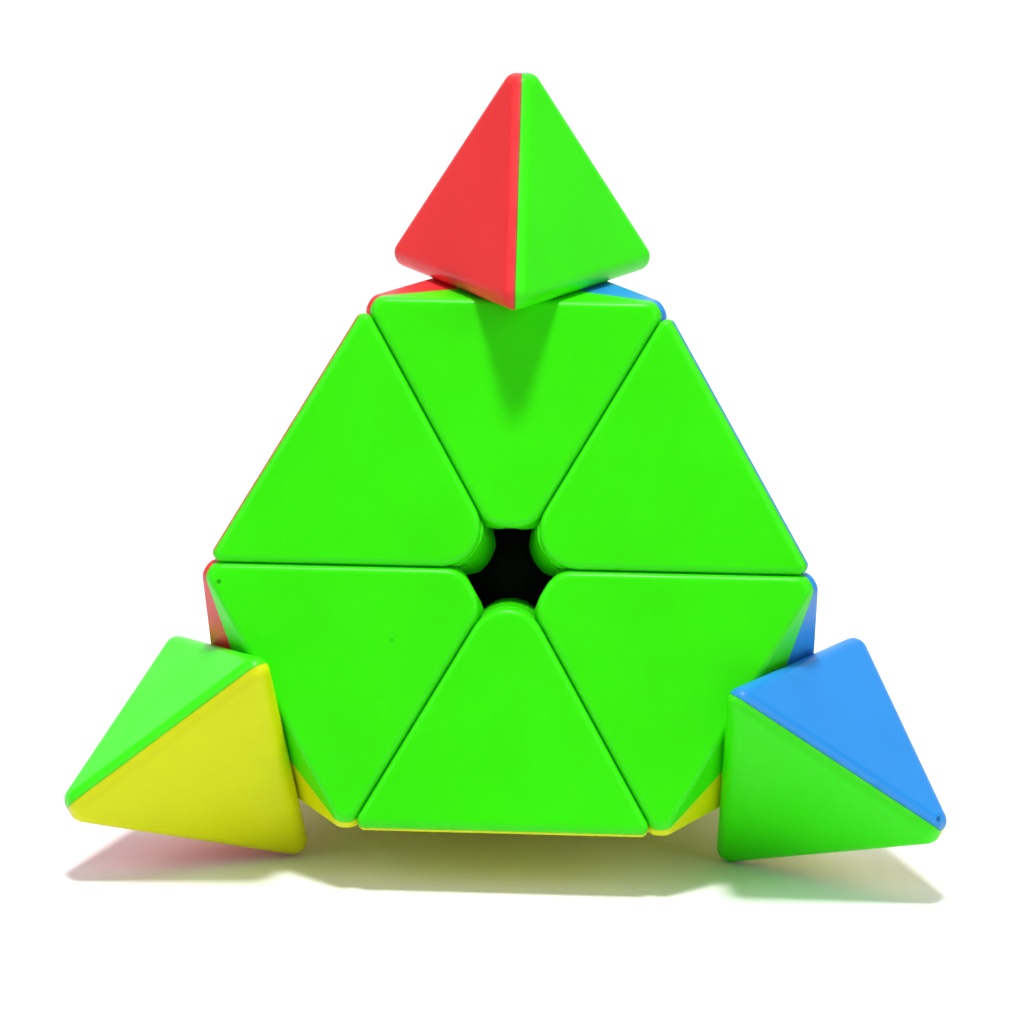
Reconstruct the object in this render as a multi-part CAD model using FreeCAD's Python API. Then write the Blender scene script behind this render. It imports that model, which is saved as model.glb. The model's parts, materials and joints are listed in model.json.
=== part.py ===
import FreeCAD, Part
import math
import os
from FreeCAD import Matrix, Vector

# A pyramid twisty puzzle: a tetrahedron cut by two planes parallel to each face,
# which leaves four tips, four axial pieces and six edge pieces round a hidden core.
# Millimetres.  The model is built about the centre of the tetrahedron with the top
# vertex up and the green face towards -Y, and moved at the end so that the origin is
# at the middle of the bounding box, on the surface that the puzzle stands on.

# ---- driving dimensions -------------------------------------------------------------
EDGE_LENGTH = 98.0
STEP = EDGE_LENGTH * math.sqrt(2.0 / 3.0) / 12.0   # a twelfth of the height
FACE = 3.0 * STEP                                  # centre to each coloured face
LAYER_CUT = STEP - 0.3                             # centre to the cut of a layer
TIP_CUT = 5.0 * STEP                               # centre to the cut of a tip
GAP = 0.04                                         # half of the slit between pieces
SEAM = 0.02                                        # half of the joint between two shells
WALL = 1.8                                         # shell thickness
FIT = 0.05                                         # clearance of a running fit

# Rounding of the pieces
AXIAL_RIM_RADIUS = 0.75                            # round the coloured triangles
EDGE_RIM_RADIUS = 0.75
EDGE_BACK_RADIUS = 1.2                             # along the edge of the puzzle
TIP_RADIUS = 1.6                                   # every edge of a tip
TIP_APEX_CUT = 4.0                                 # depth of the blunted outer vertex
AXIAL_NOSE_DISTANCE = 4.3                          # face centre to the rounded corners
AXIAL_NOSE_RADIUS = 3.0
EDGE_NOSE_RADIUS = 4.5
COLUMN_DISTANCE = 4.2                              # face centre to the wall under an edge's nose
COLUMN_RADIUS = 4.2
AXIAL_CORNER_CUT = 1.2                             # depth of the blunted outer corner
AXIAL_CORNER_RADIUS = 1.4

# Mechanism: the layers part along LAYER_CUT outside this ball and along FOOT_CUT in it
BALL = 17.65
FOOT_CUT = 4.0
FOOT_INNER_RADIUS = 13.2
COLUMN_INNER_RADIUS = 12.5
COLUMN_OUTER_RADIUS = 19.7                         # just under the rounded rim of the nose
COLUMN_WALL = 2.0
COLUMN_LEAN = math.radians(10.5)
CORE_RADIUS = 12.0

# Where each tip stands, turned about its own axis from the solved position, degrees
TIP_TURN = {"top": 60.73, "left": 71.23, "right": 57.72, "back": 60.0}

# Stack on each of the four arms, as distances from the centre along the arm
SEAT_HEIGHT = 12.1
SEAT_RADIUS = 4.4
POST_RADIUS = 2.2
POST_TOP = 17.6
SPRING_SEAT = 18.2
WASHER_BOTTOM = 24.0
WASHER_THICKNESS = 0.5
WASHER_RADIUS = 2.95
WASHER_HOLE = 1.35
SCREW_RADIUS = 1.2
SCREW_START = 7.0
SCREW_HEAD_RADIUS = 2.4
SCREW_HEAD_HEIGHT = 1.6
SCREW_SLOT = 0.6
SCREW_SLOT_LENGTH = 3.2
SCREW_SLOT_DEPTH = 0.9
THREAD_CLEARANCE = 0.02
SPRING_WIRE = 0.3
SPRING_RADIUS = 2.6
SPRING_TURNS = 5.0
HUB_BORE = 3.1
HUB_STEM_RADIUS = 5.2
HUB_SLEEVE_RADIUS = 5.6
HUB_PLATE_BOTTOM = 18.6
HUB_PLATE_TOP = 20.6
NECK_RADIUS = 4.2
NECK_BOTTOM = TIP_CUT - GAP
LIP_RADIUS = 4.9
LIP_BOTTOM = 35.85
LIP_TOP = 36.95
TIP_HUB_BOTTOM = 33.75
TIP_HUB_TOP = 39.2
TIP_HUB_LOWER_RADIUS = 7.35
TIP_HUB_UPPER_RADIUS = 5.45
TIP_HUB_CLEARANCE = 0.15
TIP_HUB_GROOVE_TOP = 37.2

# Edge foot
FOOT_BOSS_RADIUS = 3.4
FOOT_BOSS_BOTTOM = 15.0
FOOT_BOSS_TOP = 26.0
FOOT_PLATE_BOTTOM = 21.5
FOOT_PLATE_TOP = 23.5

BIG = 400.0                                        # larger than the whole puzzle
ON_PLANE = 1e-4                                    # an edge this near a plane is on it
SECTOR = math.radians(60)                          # half of a coloured third of a piece
ORIGIN = Vector(0, 0, 0)
RIDGE_FACTOR = math.sqrt(4.0 / 3.0)                 # length of two summed directions

# ---- directions ---------------------------------------------------------------------
# From the centre to each vertex; the face opposite a vertex carries its colour.
VERTEX = {
    "top": Vector(0, 0, 1),
    "left": Vector(-math.sqrt(2.0 / 3.0), -math.sqrt(2.0) / 3.0, -1.0 / 3.0),
    "right": Vector(math.sqrt(2.0 / 3.0), -math.sqrt(2.0) / 3.0, -1.0 / 3.0),
    "back": Vector(0, 2.0 * math.sqrt(2.0) / 3.0, -1.0 / 3.0),
}
COLOUR = {"top": "yellow", "left": "blue", "right": "red", "back": "green"}
EDGE_NAME = {
    frozenset(("top", "left")): "upper_left",
    frozenset(("top", "right")): "upper_right",
    frozenset(("top", "back")): "upper_back",
    frozenset(("left", "right")): "front",
    frozenset(("left", "back")): "lower_left",
    frozenset(("right", "back")): "lower_right",
}


def unit(vector):
    return vector * (1.0 / vector.Length)


def across(first, second):
    """Unit direction from the centre to the middle of a tetrahedron edge."""
    return unit(VERTEX[first] + VERTEX[second])


def face_centre(opposite):
    return VERTEX[opposite] * -FACE


def along_face(opposite, towards):
    """Unit direction in the plane of a face, as near as it can be to a given one."""
    normal = VERTEX[opposite]
    return unit(towards - normal * towards.dot(normal))


# ---- small shape helpers ------------------------------------------------------------
def placed(shape, rotation):
    moved = shape.copy()
    moved.Placement = FreeCAD.Placement(ORIGIN, rotation).multiply(moved.Placement)
    return moved


def clip(shape, normal, distance):
    """Keep the side of a plane that the normal points away from."""
    block = Part.makeBox(BIG, BIG, BIG, Vector(-BIG / 2, -BIG / 2, 0))
    turn = FreeCAD.Rotation(Vector(0, 0, 1), normal)
    block.Placement = FreeCAD.Placement(normal * distance, turn)
    return shape.cut(block)


def polyhedron(planes):
    side = 2.0 * EDGE_LENGTH
    solid = Part.makeBox(side, side, side, Vector(-side / 2, -side / 2, -side / 2))
    for normal, distance in planes:
        solid = clip(solid, normal, distance)
    return solid


def ball(radius):
    return Part.makeSphere(radius)


def points_of(edge):
    """The ends, the middle and the quarters of an edge."""
    first, last = edge.ParameterRange
    return [edge.valueAt(first + (last - first) * k / 4.0) for k in range(5)]


def lies_on(edge, normal, distance):
    return all(abs(normal.dot(p) - distance) < ON_PLANE for p in points_of(edge))


def edges_between(shape, one, other):
    return [e for e in shape.Edges if lies_on(e, *one) and lies_on(e, *other)]


def rounded(shape, pairs, radius):
    """Fillet the edges where each pair of planes meets."""
    edges = [edge for one, other in pairs for edge in edges_between(shape, one, other)]
    return shape.makeFillet(radius, edges)


def rim_edges(shape, sides):
    """Every edge of the coloured faces."""
    planes = [(-VERTEX[side], FACE) for side in sides]
    return [edge for edge in shape.Edges if any(lies_on(edge, *p) for p in planes)]


def revolved(profile):
    """Body of revolution about +Z from (radius, height) points."""
    points = [Vector(radius, 0, height) for radius, height in profile]
    face = Part.Face(Part.makePolygon(points + [points[0]]))
    return face.revolve(ORIGIN, Vector(0, 0, 1), 360)


def single(shape):
    """The one solid of a shape."""
    solids = shape.Solids
    if len(solids) != 1:
        raise ValueError("expected one solid, found %d" % len(solids))
    return solids[0]


# ---- the twelve rotations of the tetrahedron ------------------------------------------
def frame_of(first, second):
    x, y = VERTEX[first], VERTEX[second]
    z = x.cross(y)
    return Matrix(x.x, y.x, z.x, 0, x.y, y.y, z.y, 0, x.z, y.z, z.z, 0, 0, 0, 0, 1)


def rotations():
    """Yield each rotation with the vertices that top, back and left go to."""
    start = frame_of("top", "back").inverse()
    for vertex in VERTEX:
        for opposite in VERTEX:
            if vertex == opposite:
                continue
            turn = FreeCAD.Placement(frame_of(vertex, opposite).multiply(start)).Rotation
            moved = turn.multVec(VERTEX["left"])
            second = min(VERTEX, key=lambda name: (VERTEX[name] - moved).Length)
            yield turn, vertex, opposite, second


# ---- axial piece ----------------------------------------------------------------------
SIDES = ("left", "right", "back")


def axial_planes(inset):
    planes = [(-VERTEX[s], FACE - inset) for s in SIDES]
    planes += [(VERTEX[s], LAYER_CUT - GAP - inset) for s in SIDES]
    planes.append((VERTEX["top"], TIP_CUT - GAP - inset))
    planes.append((-VERTEX["top"], -LAYER_CUT - GAP - inset))
    return planes


def axial_outside():
    """Octahedron with blunted corners and rounded rims, hollowed by the inner ball."""
    solid = polyhedron(axial_planes(0.0)).cut(ball(BALL + GAP))
    ridge = (TIP_CUT + LAYER_CUT - 2.0 * GAP) / RIDGE_FACTOR
    corners = []
    noses = []
    for side in SIDES:
        corner = (across("top", side), ridge - AXIAL_CORNER_CUT)
        nose = (-along_face(side, VERTEX["top"]), -AXIAL_NOSE_DISTANCE)
        solid = clip(clip(solid, *corner), *nose)
        corners.append((corner, (VERTEX["top"], TIP_CUT - GAP)))
        corners.append((corner, (VERTEX[side], LAYER_CUT - GAP)))
        for other in SIDES:
            if other != side:
                noses.append((nose, (VERTEX[other], LAYER_CUT - GAP)))
    solid = rounded(solid, corners, AXIAL_CORNER_RADIUS)
    solid = rounded(solid, noses, AXIAL_NOSE_RADIUS)
    return solid.makeFillet(AXIAL_RIM_RADIUS, rim_edges(solid, SIDES))


def sector():
    """Wedge about +Z that belongs to the green face, shrunk by half a seam."""
    apex = Vector(0, -SEAM / math.sin(SECTOR), -BIG)
    reach = BIG * math.sin(SECTOR)
    drop = BIG * math.cos(SECTOR)
    corners = [
        apex,
        apex + Vector(-reach, -drop, 0),
        apex + Vector(0, -2.0 * BIG, 0),
        apex + Vector(reach, -drop, 0),
    ]
    wedge = Part.Face(Part.makePolygon(corners + [corners[0]]))
    return wedge.extrude(Vector(0, 0, 2 * BIG))


def axial_shell():
    solid = axial_outside().cut(polyhedron(axial_planes(WALL)))
    opening = Part.makeCylinder(HUB_SLEEVE_RADIUS + FIT, BIG)
    return single(solid.cut(opening).common(sector()))


def axial_hub():
    plate = polyhedron(axial_planes(WALL + FIT))
    plate = clip(plate, VERTEX["top"], HUB_PLATE_TOP)
    plate = clip(plate, -VERTEX["top"], -HUB_PLATE_BOTTOM)
    body = revolved([
        (POST_RADIUS + FIT, SEAT_HEIGHT + FIT),
        (HUB_STEM_RADIUS, SEAT_HEIGHT + FIT),
        (HUB_STEM_RADIUS, HUB_PLATE_BOTTOM),
        (HUB_SLEEVE_RADIUS, HUB_PLATE_BOTTOM),
        (HUB_SLEEVE_RADIUS, NECK_BOTTOM),
        (NECK_RADIUS, NECK_BOTTOM),
        (NECK_RADIUS, LIP_BOTTOM),
        (LIP_RADIUS, LIP_BOTTOM),
        (NECK_RADIUS, LIP_TOP),
        (HUB_BORE, LIP_TOP),
        (HUB_BORE, SPRING_SEAT),
        (POST_RADIUS + FIT, SPRING_SEAT),
    ])
    bore = Part.makeCylinder(HUB_BORE, BIG)
    return single(body.fuse(plate.cut(bore)).removeSplitter())


# ---- tip ------------------------------------------------------------------------------
def tip_planes(inset):
    planes = [(-VERTEX[s], FACE - inset) for s in SIDES]
    planes.append((-VERTEX["top"], -TIP_CUT - GAP - inset))
    return planes


def tip_shell():
    solid = polyhedron(tip_planes(0.0))
    solid = clip(solid, VERTEX["top"], 3.0 * FACE - TIP_APEX_CUT)
    solid = solid.makeFillet(TIP_RADIUS, solid.Edges)
    solid = solid.cut(polyhedron(tip_planes(WALL)))
    opening = Part.makeCylinder(TIP_HUB_LOWER_RADIUS + FIT, TIP_CUT + GAP + WALL + FIT)
    return single(solid.cut(opening).common(sector()))


def tip_hub():
    """Cap that snaps over the lip of the axial hub and turns on its neck."""
    return revolved([
        (NECK_RADIUS + FIT, TIP_HUB_BOTTOM),
        (TIP_HUB_LOWER_RADIUS, TIP_HUB_BOTTOM),
        (TIP_HUB_UPPER_RADIUS, TIP_HUB_TOP),
        (0, TIP_HUB_TOP),
        (0, TIP_HUB_GROOVE_TOP),
        (LIP_RADIUS + TIP_HUB_CLEARANCE, TIP_HUB_GROOVE_TOP),
        (LIP_RADIUS + TIP_HUB_CLEARANCE, LIP_BOTTOM - TIP_HUB_CLEARANCE),
        (NECK_RADIUS + FIT, LIP_BOTTOM - TIP_HUB_CLEARANCE),
    ])


# ---- edge piece, between the top and left vertices ----------------------------------------
ENDS = ("top", "left")
FLANKS = ("right", "back")


def edge_planes(inset):
    planes = [(-VERTEX[end], -LAYER_CUT - GAP - inset) for end in ENDS]
    planes += [(-VERTEX[flank], FACE - inset) for flank in FLANKS]
    return planes


def inner_planes():
    planes = [(-VERTEX[end], -FOOT_CUT - GAP) for end in ENDS]
    planes += [(VERTEX[flank], FOOT_CUT - GAP) for flank in FLANKS]
    return planes


def edge_outside():
    """Tetrahedron with rounded edges, hollowed by the inner ball."""
    solid = polyhedron(edge_planes(0.0)).cut(ball(BALL + GAP))
    ridge = [(-VERTEX[end], -LAYER_CUT - GAP) for end in ENDS]
    solid = rounded(solid, [ridge], EDGE_NOSE_RADIUS)
    backs = edges_between(solid, *[(-VERTEX[flank], FACE) for flank in FLANKS])
    solid = solid.makeFillet(EDGE_BACK_RADIUS, backs)
    return solid.makeFillet(EDGE_RIM_RADIUS, rim_edges(solid, FLANKS))


def nose_limit(flank, clearance):
    """Plane behind the nose of a shell, square to its coloured face."""
    inward = along_face(flank, across(*ENDS))
    return -inward, -(COLUMN_DISTANCE + COLUMN_WALL + clearance)


def edge_nose():
    """Wall that runs from the green shell's rounded corner in towards the core."""
    inward = along_face("back", across(*ENDS))
    axis = VERTEX["back"] * math.cos(COLUMN_LEAN) - inward * math.sin(COLUMN_LEAN)
    foot = face_centre("back") + inward * (COLUMN_DISTANCE + COLUMN_RADIUS)
    column = Part.makeCylinder(COLUMN_RADIUS, FACE, foot, axis)
    normal, distance = nose_limit("back", 0.0)
    column = clip(column, -normal, -distance)
    below = polyhedron(inner_planes()).common(ball(BALL - GAP))
    join = polyhedron(edge_planes(0.0) + inner_planes())
    join = join.common(ball(COLUMN_OUTER_RADIUS)).cut(ball(BALL - WALL))
    return column.common(below.fuse(join)).cut(ball(COLUMN_INNER_RADIUS))


def edge_shell():
    solid = edge_outside().cut(polyhedron(edge_planes(WALL)))
    middle = unit(VERTEX["back"] - VERTEX["right"])
    half = clip(solid, middle, -SEAM)
    return single(half.fuse(edge_nose()).removeSplitter())


def edge_foot():
    """Block that slides under the axial pieces, with a boss and a plate in the shells."""
    block = polyhedron(inner_planes()).common(ball(BALL - GAP)).cut(ball(FOOT_INNER_RADIUS))
    for flank in FLANKS:
        block = clip(block, *nose_limit(flank, FIT))
    outward = across(*ENDS)
    length = FOOT_BOSS_TOP - FOOT_BOSS_BOTTOM
    room = polyhedron(edge_planes(WALL + FIT))
    boss = Part.makeCylinder(FOOT_BOSS_RADIUS, length, outward * FOOT_BOSS_BOTTOM, outward)
    boss = boss.common(room)
    plate = clip(room, outward, FOOT_PLATE_TOP)
    plate = clip(plate, -outward, -FOOT_PLATE_BOTTOM)
    return single(block.fuse([boss, plate]).removeSplitter())


# ---- core and the stack on its arms, all drawn along +Z -----------------------------------
def core(arms):
    body = ball(CORE_RADIUS)
    seat = Part.makeCylinder(SEAT_RADIUS, SEAT_HEIGHT)
    post = Part.makeCylinder(POST_RADIUS, POST_TOP)
    hole = Part.makeCylinder(SCREW_RADIUS + THREAD_CLEARANCE, BIG, Vector(0, 0, SCREW_START))
    body = body.fuse([placed(piece, arm) for arm in arms for piece in (seat, post)])
    return single(body.cut([placed(hole, arm) for arm in arms]).removeSplitter())


def screw():
    head_bottom = WASHER_BOTTOM + WASHER_THICKNESS
    shaft = Part.makeCylinder(SCREW_RADIUS, head_bottom - SCREW_START, Vector(0, 0, SCREW_START))
    head = Part.makeCylinder(SCREW_HEAD_RADIUS, SCREW_HEAD_HEIGHT, Vector(0, 0, head_bottom))
    body = shaft.fuse(head)
    top = head_bottom + SCREW_HEAD_HEIGHT
    for length, width in ((SCREW_SLOT_LENGTH, SCREW_SLOT), (SCREW_SLOT, SCREW_SLOT_LENGTH)):
        start = Vector(-length / 2.0, -width / 2.0, top - SCREW_SLOT_DEPTH)
        body = body.cut(Part.makeBox(length, width, SCREW_HEAD_HEIGHT, start))
    return single(body.removeSplitter())


def washer():
    base = Vector(0, 0, WASHER_BOTTOM)
    ring = Part.makeCylinder(WASHER_RADIUS, WASHER_THICKNESS, base)
    return ring.cut(Part.makeCylinder(WASHER_HOLE, WASHER_THICKNESS, base))


def spring():
    start = SPRING_SEAT + SPRING_WIRE + FIT
    height = WASHER_BOTTOM - SPRING_WIRE - FIT - start
    path = Part.makeHelix(height / SPRING_TURNS, height, SPRING_RADIUS)
    circle = Part.makeCircle(SPRING_WIRE, Vector(SPRING_RADIUS, 0, 0), Vector(0, 1, 0))
    coil = path.makePipeShell([Part.Wire(circle)], True, True)
    coil.translate(Vector(0, 0, start))
    return single(coil)


# ---- assembly ----------------------------------------------------------------------------
def build():
    """Every piece in its place, as node name to list of solids, about the centre."""
    nodes = {}
    canonical = {"axial": axial_shell(), "tip": tip_shell(), "edge": edge_shell()}
    foot = edge_foot()
    arms = {}
    for turn, vertex, opposite, second in rotations():
        arms.setdefault(vertex, turn)
        colour = COLOUR[opposite]
        edge = EDGE_NAME[frozenset((vertex, second))]
        spin = FreeCAD.Rotation(VERTEX[vertex], TIP_TURN[vertex]).multiply(turn)
        nodes["%s_axial_%s_shell" % (vertex, colour)] = placed(canonical["axial"], turn)
        nodes["%s_tip_%s_shell" % (vertex, colour)] = placed(canonical["tip"], spin)
        nodes["%s_edge_%s_shell" % (edge, colour)] = placed(canonical["edge"], turn)
        nodes.setdefault("%s_edge_foot" % edge, placed(foot, turn))
    for vertex, turn in arms.items():
        nodes["%s_axial_hub" % vertex] = placed(axial_hub(), turn)
        nodes["%s_tip_hub" % vertex] = placed(tip_hub(), turn)
    turns = list(arms.values())
    nodes["core"] = core(turns)
    for name, piece in (("core_screws", screw()), ("tension_springs", spring()),
                        ("tension_washers", washer())):
        nodes[name] = Part.makeCompound([placed(piece, turn) for turn in turns])
    return nodes


def base_shift(nodes):
    """From the centre of the puzzle to the origin on the surface that it stands on."""
    box = FreeCAD.BoundBox()
    for name, shape in nodes.items():
        if "_tip_" in name:
            box.add(shape.optimalBoundingBox(False))
    return Vector(-box.Center.x, -box.Center.y, -box.ZMin)


def main():
    nodes = build()
    shift = base_shift(nodes)
    print("centre of the puzzle above the origin", shift)
    os.makedirs("parts", exist_ok=True)
    for name, shape in sorted(nodes.items()):
        moved = shape.copy()
        moved.translate(shift)
        if not moved.isValid():
            raise ValueError(name + " is not valid")
        moved.exportStep("parts/%s.step" % name)
    print(len(nodes), "nodes")


if __name__ == "__main__":
    main()
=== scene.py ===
import json
import math

import bpy
from mathutils import Matrix, Vector


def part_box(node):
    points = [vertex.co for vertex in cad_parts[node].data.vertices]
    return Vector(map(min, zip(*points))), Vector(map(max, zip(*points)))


# The pyramid twisty puzzle in the studio.  Every shape is a CAD node; this script gives
# the nodes their moulded plastics and metal, and sets up the floor, lights and camera.
# Metres, in the same frame as the CAD.

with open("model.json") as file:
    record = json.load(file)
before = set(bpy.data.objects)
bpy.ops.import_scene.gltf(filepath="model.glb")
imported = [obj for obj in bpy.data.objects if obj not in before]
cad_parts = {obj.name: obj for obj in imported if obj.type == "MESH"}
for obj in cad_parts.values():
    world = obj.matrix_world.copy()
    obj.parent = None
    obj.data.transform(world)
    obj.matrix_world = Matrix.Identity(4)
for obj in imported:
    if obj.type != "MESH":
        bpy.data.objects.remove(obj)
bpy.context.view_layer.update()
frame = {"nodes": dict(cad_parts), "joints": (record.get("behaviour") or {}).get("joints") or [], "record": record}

MILLIMETRE = 0.001

# ---- camera -------------------------------------------------------------------------
AZIMUTH = math.radians(2.58)
ELEVATION = math.radians(14.87)
ROLL = math.radians(0.62)
CAMERA_DISTANCE = 0.442                 # from the middle of the core
CAMERA_ACROSS = -0.0007
CAMERA_RAISED = 0.0077
CLIP_START = 0.01
SENSOR_WIDTH = 36.0                     # millimetres, as Blender wants both of these
LENS = 142.0

# ---- studio -------------------------------------------------------------------------
FLOOR_WIDTH = 5.0
FLOOR_FRONT = -2.4
SWEEP_START = 0.9                       # where the floor begins to curve up at the back
SWEEP_RADIUS = 0.8
SWEEP_HEIGHT = 2.6
SWEEP_STEPS = 24
SWEEP_LIT_HEIGHT = 0.3                  # where on the wall of the sweep its softbox aims
WORLD_STRENGTH = 0.23
WHITE = (1, 1, 1, 1)
SOFTBOXES = {
    # name: (place, width, height, watts)
    "key_softbox": ((0.00, -0.19, 1.05), 0.14, 0.14, 10.4),
    "right_softbox": ((0.85, -0.50, 0.55), 0.60, 0.60, 2.8),
    "left_softbox": ((-0.85, -0.38, 0.65), 0.60, 0.60, 2.1),
    "sweep_softbox": ((0.0, 0.45, 1.30), 1.60, 0.50, 16.0),
}
PAPER_TONES = (0.86, 0.86, 0.86, 1), (0.90, 0.90, 0.90, 1)
PAPER_CLOUD = 0.25                      # size of the faint clouds in the paper
PAPER_ROUGHNESS = 0.9
PAPER_GLOSS = 0.1

# ---- spans --------------------------------------------------------------------------
# Each is the part of a noise's or an edge's 0 to 1 over which an effect comes in.
BROAD = (0.30, 0.70)
FIRM = (0.35, 0.65)
FLECKS_ONLY = (0.62, 0.80)
SCRATCHES_ONLY = (0.66, 0.72)
WORN_EDGE = (0.16, 0.60)
WORN_NYLON_EDGE = (0.15, 0.60)

# ---- coloured plastics --------------------------------------------------------------
PLASTICS = {
    # slot: (colour in the mass, colour that its worn edges go towards)
    "green_plastic": ((0.036, 0.740, 0.001), (0.18, 0.86, 0.06)),
    "red_plastic": ((0.740, 0.028, 0.034), (0.90, 0.16, 0.13)),
    "blue_plastic": ((0.017, 0.235, 0.640), (0.14, 0.44, 0.86)),
    "yellow_plastic": ((0.640, 0.690, 0.001), (0.80, 0.82, 0.06)),
}
PLASTIC_ROUGHNESS = 0.34
PLASTIC_IOR = 1.46
PLASTIC_GLOSS = 0.22
PIGMENT_PATCH = 11 * MILLIMETRE         # size of the slow changes of colour
PIGMENT_DARKEST = 0.965                 # what they do to the brightness
PIGMENT_LIGHTEST = 1.03
PIGMENT_FLECK = 0.7 * MILLIMETRE
FLECK_STRENGTH = 0.05
HANDLING_PATCH = 7 * MILLIMETRE         # size of the duller and shinier patches
HANDLING_SHINE = -0.05                  # what they do to the roughness
HANDLING_DULL = 0.06
SCRATCH_SPACING = 0.5 * MILLIMETRE
SCRATCH_LENGTH = 16 * MILLIMETRE
SCRATCH_LEAN = (0.5, 0.3, 0.9)          # radians about X, Y and Z
SCRATCH_ROUGHNESS = 0.08
GRAIN = 0.22 * MILLIMETRE
GRAIN_DEPTH = 0.0035 * MILLIMETRE
WAVE = 9 * MILLIMETRE                   # faint waviness of a moulded wall
WAVE_DEPTH = 0.012 * MILLIMETRE
WEAR_REACH = 0.8 * MILLIMETRE           # how far wear runs in from an edge
WEAR_STRENGTH = 0.26
WEAR_POLISH = 0.12                      # how much roughness goes where wear is 1
RUB_PATCH = 2.2 * MILLIMETRE            # size of the more and less worn stretches
RUB_LEAST = 0.35
SCATTER = 0.40
SCATTER_DEPTH = 1.5 * MILLIMETRE
SCATTER_SPREAD = (1.0, 1.0, 1.0)        # the same for red, green and blue light
GATE_MARKS = {
    # slot: (piece, place across its box, place up its box, darkness)
    "green_plastic": (("left_axial_green_shell", 0.050, 0.935, 0.65),
                      ("left_axial_green_shell", 0.675, 0.722, 0.25)),
    "blue_plastic": (("right_tip_blue_shell", 0.957, 0.100, 0.7),),
}
GATE_MARK_RADIUS = 0.30 * MILLIMETRE
GATE_MARK_CORE = 0.4                    # share of the radius that is evenly dark
GATE_MARK_SHADE = 0.12

# ---- black nylon --------------------------------------------------------------------
BLACK_DEEP = (0.0012, 0.0014, 0.0012, 1)
BLACK_GREASED = (0.0030, 0.0034, 0.0030, 1)
BLACK_WORN = (0.012, 0.013, 0.012, 1)
BLACK_GLOSS = 0.12
GREASE_PATCH = 3 * MILLIMETRE
NYLON_SMOOTHEST = 0.50
NYLON_ROUGHEST = 0.72
NYLON_GRAIN = 0.18 * MILLIMETRE
NYLON_GRAIN_DEPTH = 0.006 * MILLIMETRE
NYLON_WEAR_REACH = 0.6 * MILLIMETRE
NYLON_WEAR_STRENGTH = 0.5

# ---- zinc ---------------------------------------------------------------------------
ZINC_TONES = (0.50, 0.51, 0.54, 1), (0.68, 0.68, 0.69, 1)
SPANGLE = 0.6 * MILLIMETRE
DRAWING_SPACING = 0.12 * MILLIMETRE
DRAWING_STRETCH = (1, 1, 0.05)          # the marks run 20 times as long as they are wide
DRAWING_DEPTH = 0.004 * MILLIMETRE
ZINC_SMOOTHEST = 0.22
ZINC_ROUGHEST = 0.42

# ---- Blender's own numbers ----------------------------------------------------------
MIX_FIRST_COLOUR = 6                    # a Mix node's colour sockets share their names
MIX_SECOND_COLOUR = 7                   # with those of its other kinds
MIX_COLOUR_RESULT = 2
EDGE_SAMPLES = 4                        # rays in each search for an edge close by


def joint_place(name):
    return next(Vector(j["pos_m"]) for j in frame["joints"] if j["name"] == name)


CENTRE = joint_place("top_layer_turn")  # every layer turns about an axis through it


# ---- camera and studio --------------------------------------------------------------
def make_camera():
    back = Vector((math.sin(AZIMUTH) * math.cos(ELEVATION),
                   -math.cos(AZIMUTH) * math.cos(ELEVATION), math.sin(ELEVATION)))
    level = Vector((math.cos(AZIMUTH), math.sin(AZIMUTH), 0))
    upright = back.cross(level)
    right = level * math.cos(ROLL) + upright * math.sin(ROLL)
    up = upright * math.cos(ROLL) - level * math.sin(ROLL)
    place = CENTRE + back * CAMERA_DISTANCE + right * CAMERA_ACROSS + up * CAMERA_RAISED
    turn = Matrix((right, up, back)).transposed().to_4x4()
    data = bpy.data.cameras.new("camera")
    data.sensor_width = SENSOR_WIDTH
    data.lens = LENS
    data.clip_start = CLIP_START
    camera = bpy.data.objects.new("camera", data)
    camera.matrix_world = Matrix.Translation(place) @ turn
    bpy.context.collection.objects.link(camera)
    bpy.context.scene.camera = camera


def sweep_profile():
    """Floor, curve and wall of the studio sweep, as (y, z) from front to back."""
    profile = [(FLOOR_FRONT, 0.0)]
    for step in range(SWEEP_STEPS + 1):
        turn = math.pi / 2 * step / SWEEP_STEPS
        profile.append((SWEEP_START + SWEEP_RADIUS * math.sin(turn),
                        SWEEP_RADIUS * (1 - math.cos(turn))))
    profile.append((SWEEP_START + SWEEP_RADIUS, SWEEP_HEIGHT))
    return profile


def make_floor():
    profile = sweep_profile()
    verts = [(side * FLOOR_WIDTH / 2, y, z) for y, z in profile for side in (-1, 1)]
    faces = [(2 * k, 2 * k + 1, 2 * k + 3, 2 * k + 2) for k in range(len(profile) - 1)]
    mesh = bpy.data.meshes.new("studio_sweep")
    mesh.from_pydata(verts, [], faces)
    for polygon in mesh.polygons:
        polygon.use_smooth = True
    floor = bpy.data.objects.new("studio_sweep", mesh)
    bpy.context.collection.objects.link(floor)
    mesh.materials.append(paper())


def make_lights():
    """Three softboxes on the puzzle and one on the sweep behind it, in a pale room."""
    for name, (place, width, height, watts) in SOFTBOXES.items():
        data = bpy.data.lights.new(name, "AREA")
        data.shape = "RECTANGLE"
        data.size = width
        data.size_y = height
        data.energy = watts
        light = bpy.data.objects.new(name, data)
        target = CENTRE
        if name == "sweep_softbox":
            target = Vector((0, SWEEP_START + SWEEP_RADIUS, SWEEP_LIT_HEIGHT))
        light.location = place
        light.rotation_euler = (target - Vector(place)).to_track_quat("-Z", "Y").to_euler()
        bpy.context.collection.objects.link(light)
    world = bpy.context.scene.world or bpy.data.worlds.new("world")
    bpy.context.scene.world = world
    world.use_nodes = True
    background = world.node_tree.nodes["Background"]
    background.inputs["Color"].default_value = WHITE
    background.inputs["Strength"].default_value = WORLD_STRENGTH
    bpy.context.scene.view_settings.view_transform = "Standard"


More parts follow.
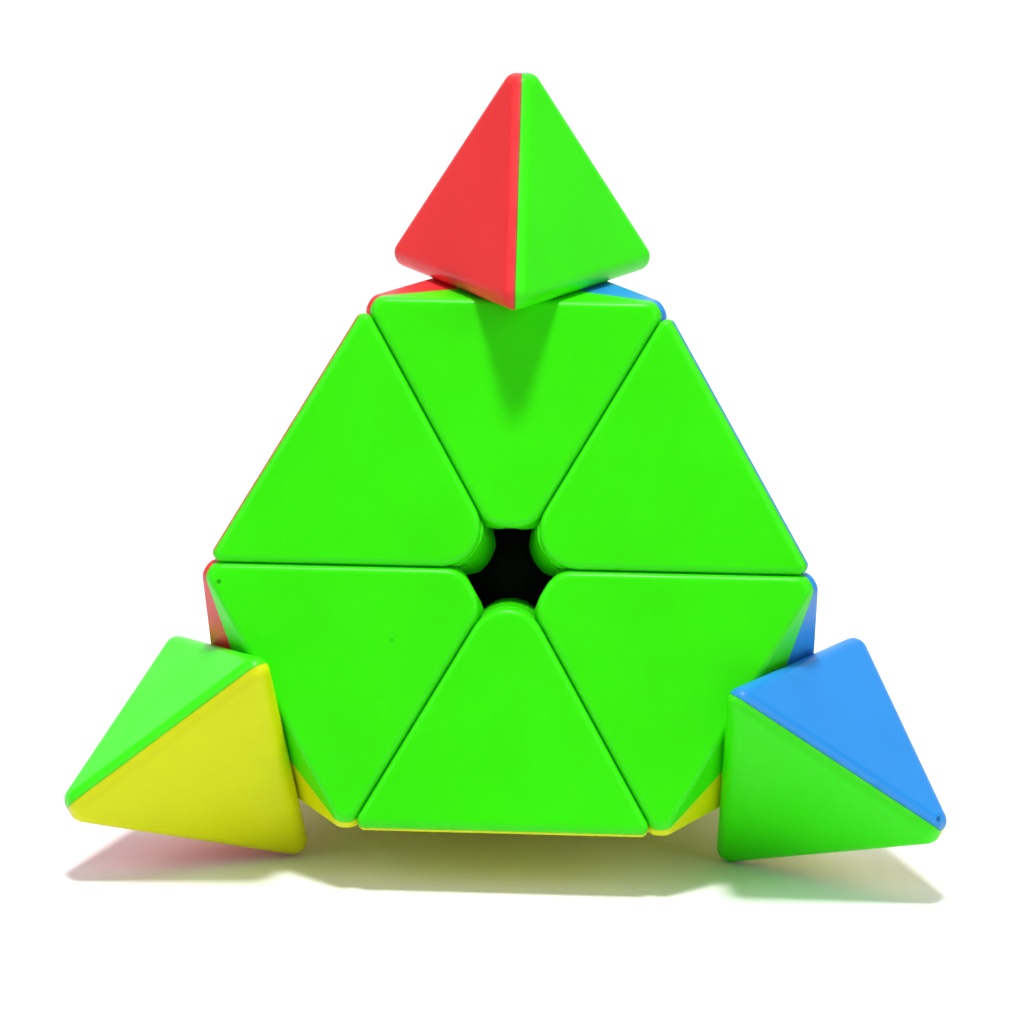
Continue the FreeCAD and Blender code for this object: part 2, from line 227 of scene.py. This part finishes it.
# ---- node helpers -------------------------------------------------------------------
class Finish:
    """A new material with its Principled shader, and short calls to wire nodes to it."""

    def __init__(self, name):
        self.material = bpy.data.materials.new(name)
        self.material.use_nodes = True
        self.tree = self.material.node_tree
        self.shader = self.tree.nodes["Principled BSDF"]
        self.place = self.node("ShaderNodeTexCoord").outputs["Object"]

    def node(self, kind, **settings):
        made = self.tree.nodes.new(kind)
        for key, value in settings.items():
            setattr(made, key, value)
        return made

    def put(self, socket, value):
        """Wire a node output to a socket, or set the socket to a plain value."""
        if isinstance(value, bpy.types.NodeSocket):
            self.tree.links.new(value, socket)
        else:
            socket.default_value = value

    def set(self, name, value):
        """The same for the shader's own socket of this name."""
        self.put(self.shader.inputs[name], value)

    def noise(self, size, detail, stretch=(1, 1, 1), lean=(0, 0, 0)):
        """Noise from 0 to 1 with lumps of about the given size."""
        mapping = self.node("ShaderNodeMapping")
        self.put(mapping.inputs["Vector"], self.place)
        mapping.inputs["Rotation"].default_value = lean
        mapping.inputs["Scale"].default_value = stretch
        made = self.node("ShaderNodeTexNoise")
        self.put(made.inputs["Vector"], mapping.outputs["Vector"])
        made.inputs["Scale"].default_value = 1.0 / size
        made.inputs["Detail"].default_value = detail
        return made.outputs["Fac"]

    def ranged(self, value, span, to_low, to_high):
        """A value mapped from a span, (low, high), to another range, and kept inside it."""
        made = self.node("ShaderNodeMapRange")
        self.put(made.inputs["Value"], value)
        made.inputs["From Min"].default_value = span[0]
        made.inputs["From Max"].default_value = span[1]
        made.inputs["To Min"].default_value = to_low
        made.inputs["To Max"].default_value = to_high
        return made.outputs["Result"]

    def math(self, operation, first, second):
        made = self.node("ShaderNodeMath", operation=operation)
        self.put(made.inputs[0], first)
        self.put(made.inputs[1], second)
        return made.outputs["Value"]

    def mix(self, factor, first, second):
        made = self.node("ShaderNodeMix", data_type="RGBA")
        self.put(made.inputs["Factor"], factor)
        self.put(made.inputs[MIX_FIRST_COLOUR], first)
        self.put(made.inputs[MIX_SECOND_COLOUR], second)
        return made.outputs[MIX_COLOUR_RESULT]

    def bump(self, height, depth, below=None):
        """A normal for heights from 0 to 1, which are scaled to the depth."""
        made = self.node("ShaderNodeBump")
        made.inputs["Strength"].default_value = 1.0
        made.inputs["Distance"].default_value = depth
        self.put(made.inputs["Height"], height)
        if below is not None:
            self.put(made.inputs["Normal"], below)
        return made.outputs["Normal"]

    def spot(self, across, up, radius):
        """1 along a line that runs from front to back, falling to 0 at its radius."""
        flat = self.node("ShaderNodeVectorMath", operation="MULTIPLY")
        self.put(flat.inputs[0], self.place)
        flat.inputs[1].default_value = (1, 0, 1)
        away = self.node("ShaderNodeVectorMath", operation="DISTANCE")
        self.put(away.inputs[0], flat.outputs["Vector"])
        away.inputs[1].default_value = (across, 0, up)
        return self.ranged(away.outputs["Value"], (GATE_MARK_CORE * radius, radius), 1, 0)

    def edges(self, reach):
        """1 on a convex edge, falling to 0 one reach away from it."""
        made = self.node("ShaderNodeAmbientOcclusion", inside=True, only_local=True,
                         samples=EDGE_SAMPLES)
        made.inputs["Distance"].default_value = reach
        return self.math("SUBTRACT", 1.0, made.outputs["AO"])


def shade(colour, factor):
    return (*(min(1.0, part * factor) for part in colour), 1)


# ---- finishes -----------------------------------------------------------------------
def gate_marked(finish, slot, colour, tone):
    """The tone, with the small dark marks that the mould's gates left on this slot."""
    for piece, across, up, darkness in GATE_MARKS.get(slot, ()):
        low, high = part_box(piece)
        mark = finish.spot(low[0] + across * (high[0] - low[0]),
                           low[2] + up * (high[2] - low[2]), GATE_MARK_RADIUS)
        cover = finish.math("MULTIPLY", mark, darkness)
        tone = finish.mix(cover, tone, shade(colour, GATE_MARK_SHADE))
    return tone


def moulded_plastic(name, colour, worn):
    """Satin plastic, coloured through, handled until its edges have a polish."""
    finish = Finish(name)
    patch = finish.ranged(finish.noise(PIGMENT_PATCH, 3.0), BROAD, 0, 1)
    fleck = finish.ranged(finish.noise(PIGMENT_FLECK, 1.0), FLECKS_ONLY, 0, FLECK_STRENGTH)
    tone = finish.mix(patch, shade(colour, PIGMENT_DARKEST), shade(colour, PIGMENT_LIGHTEST))
    tone = finish.mix(fleck, tone, shade(worn, 1.0))
    rub = finish.ranged(finish.noise(RUB_PATCH, 4.0), FIRM, RUB_LEAST, 1)
    wear = finish.ranged(finish.edges(WEAR_REACH), WORN_EDGE, 0, WEAR_STRENGTH)
    wear = finish.math("MULTIPLY", wear, rub)
    tone = finish.mix(wear, tone, shade(worn, 1.0))
    finish.set("Base Color", gate_marked(finish, name, colour, tone))

    scratch = finish.noise(SCRATCH_SPACING, 2.0, lean=SCRATCH_LEAN,
                           stretch=(SCRATCH_SPACING / SCRATCH_LENGTH, 1, 1))
    scratch = finish.ranged(scratch, SCRATCHES_ONLY, 0, 1)
    dull = finish.ranged(finish.noise(HANDLING_PATCH, 4.0), BROAD, HANDLING_SHINE, HANDLING_DULL)
    rough = finish.math("ADD", dull, PLASTIC_ROUGHNESS)
    rough = finish.math("ADD", rough, finish.math("MULTIPLY", scratch, SCRATCH_ROUGHNESS))
    rough = finish.math("SUBTRACT", rough, finish.math("MULTIPLY", wear, WEAR_POLISH))
    finish.set("Roughness", rough)

    wavy = finish.bump(finish.noise(WAVE, 1.0), WAVE_DEPTH)
    finish.set("Normal", finish.bump(finish.noise(GRAIN, 2.0), GRAIN_DEPTH, wavy))
    finish.set("IOR", PLASTIC_IOR)
    finish.set("Specular IOR Level", PLASTIC_GLOSS)
    finish.set("Subsurface Weight", SCATTER)
    finish.set("Subsurface Radius", SCATTER_SPREAD)
    finish.set("Subsurface Scale", SCATTER_DEPTH)
    return finish.material


def black_plastic(name):
    """Bare nylon of the core, hubs and feet, greased and a little polished by running."""
    finish = Finish(name)
    grease = finish.noise(GREASE_PATCH, 4.0)
    tone = finish.mix(finish.ranged(grease, FIRM, 0, 1), BLACK_DEEP, BLACK_GREASED)
    wear = finish.ranged(finish.edges(NYLON_WEAR_REACH), WORN_NYLON_EDGE, 0, NYLON_WEAR_STRENGTH)
    finish.set("Base Color", finish.mix(wear, tone, BLACK_WORN))
    finish.set("Roughness", finish.ranged(grease, BROAD, NYLON_SMOOTHEST, NYLON_ROUGHEST))
    finish.set("Specular IOR Level", BLACK_GLOSS)
    finish.set("Normal", finish.bump(finish.noise(NYLON_GRAIN, 2.0), NYLON_GRAIN_DEPTH))
    return finish.material


def zinc_steel(name):
    """Bright zinc on the screws, washers and springs, with drawing marks and spangle."""
    finish = Finish(name)
    spangle = finish.ranged(finish.noise(SPANGLE, 2.0), FIRM, 0, 1)
    drawn = finish.noise(DRAWING_SPACING, 2.0, stretch=DRAWING_STRETCH)
    finish.set("Base Color", finish.mix(spangle, *ZINC_TONES))
    finish.set("Roughness", finish.ranged(drawn, BROAD, ZINC_SMOOTHEST, ZINC_ROUGHEST))
    finish.set("Normal", finish.bump(drawn, DRAWING_DEPTH))
    finish.set("Metallic", 1.0)
    return finish.material


def paper():
    """White background paper."""
    finish = Finish("background_paper")
    cloud = finish.ranged(finish.noise(PAPER_CLOUD, 2.0), BROAD, 0, 1)
    finish.set("Base Color", finish.mix(cloud, *PAPER_TONES))
    finish.set("Roughness", PAPER_ROUGHNESS)
    finish.set("Specular IOR Level", PAPER_GLOSS)
    return finish.material


def dress_nodes():
    """Give every CAD node the finish of the material slot that the record names for it."""
    finishes = {slot: moulded_plastic(slot, *colours) for slot, colours in PLASTICS.items()}
    finishes["black_plastic"] = black_plastic("black_plastic")
    finishes["steel"] = zinc_steel("steel")
    for part in frame["record"]["subparts"]:
        node = frame["nodes"][part["node"]]
        for slot in node.material_slots:
            slot.material = finishes[part["material_slot"]]


make_camera()
make_floor()
make_lights()
dress_nodes()
